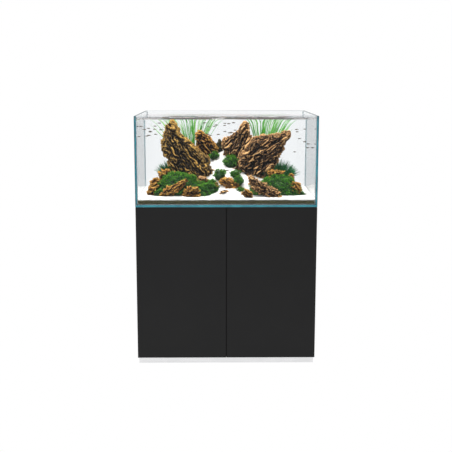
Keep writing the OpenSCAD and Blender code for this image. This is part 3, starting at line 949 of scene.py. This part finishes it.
def grass(name, feet, lengths, leans, count, seed, top):
    """Long thin leaves that rise from the ground and fan out below the water's surface."""
    rng = random.Random(seed)
    leaves = Leaves()
    for _ in range(count):
        t = rng.random()
        x = feet[0] + (feet[1] - feet[0]) * t + rng.uniform(-10, 10)
        y = rng.uniform(feet[2], feet[3])
        foot = Vector((x * MM, y * MM, ground(x * MM, y * MM, False) - 4 * MM))
        lean = math.radians(leans[0] + (leans[1] - leans[0]) * t + rng.uniform(-8, 8))
        back_lean = rng.uniform(-0.12, 0.08)
        length = rng.uniform(*lengths) * MM
        points, widths, tones = [], [], []
        p = foot.copy()
        steps = 14
        width = rng.uniform(0.9, 1.7) * MM
        bright = rng.uniform(0.15, 0.95)
        limit = top - rng.uniform(0, 8) * MM
        for i in range(steps):
            f = i / (steps - 1)
            points.append(p.copy())
            widths.append(width * (0.7 + 0.6 * f) * (1 - f ** 6) + 0.12 * MM)
            tones.append(bright * (0.25 + 0.75 * f))
            bend = min(max((p.z - limit + 60 * MM) / (60 * MM), 0.0), 1.0) ** 2
            a = lean * (0.4 + 0.9 * f) * (1 - bend) + math.copysign(1.5, lean) * bend
            p = p + Vector((math.sin(a), back_lean, math.cos(a))) * length / steps
            p.z = min(p.z, limit)
            p.y = min(p.y, inner_high.y - 4 * MM)
            p.x = max(inner_low.x + 5 * MM, min(inner_high.x - 5 * MM, p.x))
        facing = Vector((rng.uniform(-0.5, 0.5), -1, rng.uniform(-0.2, 0.2)))
        leaves.ribbon(points, widths, facing, tones)
    obj = leaves.build(name, GRASS)
    smooth(obj, 50)
    return obj


# Each mound or tuft: middle x y z and radius, in mm.
LEFT_MOUNDS = [(-244, -40, 823, 131), (-149, -95, 816, 94), (-310, -110, 802, 78), (-87, -70, 853, 63)]
RIGHT_MOUNDS = [(276, -40, 823, 117), (177, -78, 822, 79), (349, -85, 800, 71)]
TUFTS = [(-32, -32, 937, 32), (62, -70, 908, 27), (74, -100, 859, 21), (51, -2, 936, 23), (29, 88, 990, 40),
         (-62, 158, 1021, 24)]
DENSITY = 110

piece(moss("moss_left_leaves", LEFT_MOUNDS, 850, DENSITY, 41), "moss", ROOT, "moss_left")
right_moss = joined("moss_right_leaves", [
    moss("moss_right_pads", RIGHT_MOUNDS, 850, DENSITY, 43),
    bush("bush_right", (280, 78, 898), 64, 144, 1700, 47)])
piece(right_moss, "moss", ROOT, "moss_right")
tufts = [moss("tufts_pads", TUFTS, 855, DENSITY * 1.3, 53, (9, 14)),
         bush("bush_left", (-301, 70, 933), 45, 97, 480, 59)]
piece(joined("moss_tuft_leaves", tufts), "moss", ROOT, "moss_tufts")
GRASS_TOP = WATER_Z - 3 * MM
piece(grass("grass_left_leaves", (-229, -143, 215, 262), (232, 432), (-40, 30), 90, 61, GRASS_TOP),
      "grass_blades", ROOT, "grass_left")
piece(grass("grass_right_leaves", (176, 241, 215, 262), (232, 367), (-12, 36), 90, 67, GRASS_TOP),
      "grass_blades", ROOT, "grass_right")


# ---------------------------------------------------------------- fish

def fish(leaves, at, heading, length, bright):
    """A small slim fish: a spindle of rings with a forked tail, drawn along its heading."""
    rings, sides = 9, 8
    k = len(leaves.verts)
    side = Vector((-math.sin(heading), math.cos(heading), 0))
    ahead = Vector((math.cos(heading), math.sin(heading), 0))
    for i in range(rings):
        f = i / (rings - 1)
        r = length * (0.115 * math.sin(math.pi * min(1.0, f * 0.86 + 0.12)) ** 0.8 * (1 - 0.25 * f) + 0.008)
        for j in range(sides):
            a = 2 * math.pi * j / sides
            up = math.sin(a)
            spine = at + ahead * length * (0.42 - 0.76 * f)
            leaves.verts.append(spine + Vector((0, 0, up * r)) + side * math.cos(a) * r * 0.5)
            leaves.tones.append(bright * (0.35 if up > 0.2 else 0.95 if up < -0.5 else 0.6))
    for i in range(rings - 1):
        for j in range(sides):
            n = (j + 1) % sides
            a, b = k + i * sides, k + (i + 1) * sides
            leaves.faces.append((a + j, a + n, b + n, b + j))
    leaves.faces.append(tuple(k + j for j in reversed(range(sides))))
    leaves.faces.append(tuple(k + (rings - 1) * sides + j for j in range(sides)))
    root = at - ahead * length * 0.33
    for up in (1, -1):
        leaves.spike(root, -ahead + Vector((0, 0, 0.55 * up)), length * 0.2, length * 0.018, bright * 0.5)
    back = at + Vector((0, 0, length * 0.07))
    leaves.spike(back, -ahead * 0.7 + Vector((0, 0, 0.8)), length * 0.13, length * 0.02, bright * 0.5)


def school(name, shoals, seed):
    """Fish scattered over boxes, each given by its middle, its half sizes and a count."""
    rng = random.Random(seed)
    leaves = Leaves()
    for x, y, z, dx, dy, dz, count in shoals:
        placed = []
        while len(placed) < count:
            p = Vector((x + rng.uniform(-dx, dx), y + rng.uniform(-dy, dy), z + rng.uniform(-dz, dz))) * MM
            if any((p - q).length < 26 * MM for q in placed):
                continue
            placed.append(p)
            heading = math.radians(rng.gauss(0, 14)) + (math.pi if rng.random() < 0.7 else 0.0)
            fish(leaves, p, heading, rng.uniform(21, 26) * MM, rng.uniform(0.35, 0.8))
    obj = leaves.build(name, FISH)
    smooth(obj, 60)
    return obj


SHOALS = [(-387, -60, 1181, 59, 90, 36, 13), (-30, -40, 1181, 80, 60, 34, 17),
          (-64, -60, 1043, 17, 20, 19, 2), (396, -20, 1121, 44, 60, 66, 8), (12, -60, 970, 4, 10, 3, 1)]
piece(school("fish", SHOALS, 71), "moss", ROOT)


# ---------------------------------------------------------------- water

def water():
    """The water, a little into the panes so no air shows between, with a faintly rippled surface."""
    lap = 0.2 * MM
    nx, ny = 90, 60
    xs = np.linspace(inner_low.x - lap, inner_high.x + lap, nx)
    ys = np.linspace(inner_low.y - lap, inner_high.y + lap, ny)
    bm = bmesh.new()
    grid = [[bm.verts.new((x, y, WATER_Z + 0.0005 * ripple(x, y, 11, 1.0) + 0.0002 * ripple(x, y, 40, 2.0)))
             for x in xs] for y in ys]
    for j in range(ny - 1):
        for i in range(nx - 1):
            bm.faces.new((grid[j][i], grid[j][i + 1], grid[j + 1][i + 1], grid[j + 1][i]))
    rim = [grid[0][i] for i in range(nx)] + [grid[j][nx - 1] for j in range(1, ny)]
    rim += [grid[ny - 1][i] for i in range(nx - 2, -1, -1)] + [grid[j][0] for j in range(ny - 2, 0, -1)]
    floor_z = inner_low.z - lap
    foot = [bm.verts.new((v.co.x, v.co.y, floor_z)) for v in rim]
    for i in range(len(rim)):
        n = (i + 1) % len(rim)
        bm.faces.new((rim[i], foot[i], foot[n], rim[n]))
    bm.faces.new(list(reversed(foot)))
    obj = from_bmesh("water", bm, WATER, SURFACE)
    for f in obj.data.polygons:
        f.material_index = 1 if f.normal.z > 0.5 else 0
    smooth(obj, 40)
    return obj


piece(water(), "tank_glass", ROOT)


# ---------------------------------------------------------------- studio

def studio():
    """A pale floor and soft light from above. Mirror reflections and diffuse light meet a dimmer room."""
    bm = bmesh.new()
    bmesh.ops.create_grid(bm, x_segments=2, y_segments=2, size=9.0, matrix=Matrix.Translation((0, 3.6, 0)))
    n = Nodes("studio_floor")
    pale = n.ramp(n.noise(1.5), (0.3, (0.9, 0.9, 0.9)), (0.7, (0.92, 0.92, 0.92)))
    path = n.node("ShaderNodeLightPath").outputs
    mirror = n.math("MULTIPLY", path["Is Singular Ray"], path["Is Reflection Ray"])
    seen = n.math("SUBTRACT", 1.0, n.math("MAXIMUM", mirror, path["Is Diffuse Ray"]), clamp=True)
    lit = n.mix(mirror, pale, (0.12, 0.12, 0.12))
    n.principled(Base_Color=n.mix(seen, lit, (0.0, 0.0, 0.0)), Roughness=0.8, Specular_IOR_Level=0.0,
                 Emission_Color=(1.0, 1.0, 1.0), Emission_Strength=n.span(seen, 0.1, 1.0))
    floor = from_bmesh("floor", bm, n.mat)
    floor.location.z = cad_low[2]

    world = bpy.data.worlds.new("studio")
    scene.world = world
    world.use_nodes = True
    tree = world.node_tree
    paths = tree.nodes.new("ShaderNodeLightPath")
    glossy = tree.nodes.new("ShaderNodeMapRange")
    glossy.inputs["To Min"].default_value = 1.0
    glossy.inputs["To Max"].default_value = 0.22
    mirrored = tree.nodes.new("ShaderNodeMath")
    mirrored.operation = "MULTIPLY"
    tree.links.new(paths.outputs["Is Glossy Ray"], mirrored.inputs[0])
    tree.links.new(paths.outputs["Is Reflection Ray"], mirrored.inputs[1])
    tree.links.new(mirrored.outputs[0], glossy.inputs["Value"])
    diffuse = tree.nodes.new("ShaderNodeMath")
    diffuse.operation = "MULTIPLY_ADD"
    tree.links.new(paths.outputs["Is Diffuse Ray"], diffuse.inputs[0])
    diffuse.inputs[1].default_value = -0.62
    tree.links.new(glossy.outputs[0], diffuse.inputs[2])
    tree.links.new(diffuse.outputs[0], tree.nodes["Background"].inputs["Strength"])
    tree.nodes["Background"].inputs["Color"].default_value = (1, 1, 1, 1)

    def lamp(name, location, target, size, power):
        data = bpy.data.lights.new(name, "AREA")
        data.shape = "RECTANGLE"
        data.size, data.size_y = size
        data.energy = power
        obj = bpy.data.objects.new(name, data)
        scene.collection.objects.link(obj)
        obj.location = location
        obj.rotation_euler = (Vector(target) - Vector(location)).to_track_quat("-Z", "Y").to_euler()

    lamp("top", (-0.3, -0.5, 3.2), (0, 0, 0.9), (2.0, 1.6), 78)
    lamp("front", (-1.8, -3.4, 3.0), (0, 0, 0.7), (1.8, 1.4), 42)


studio()
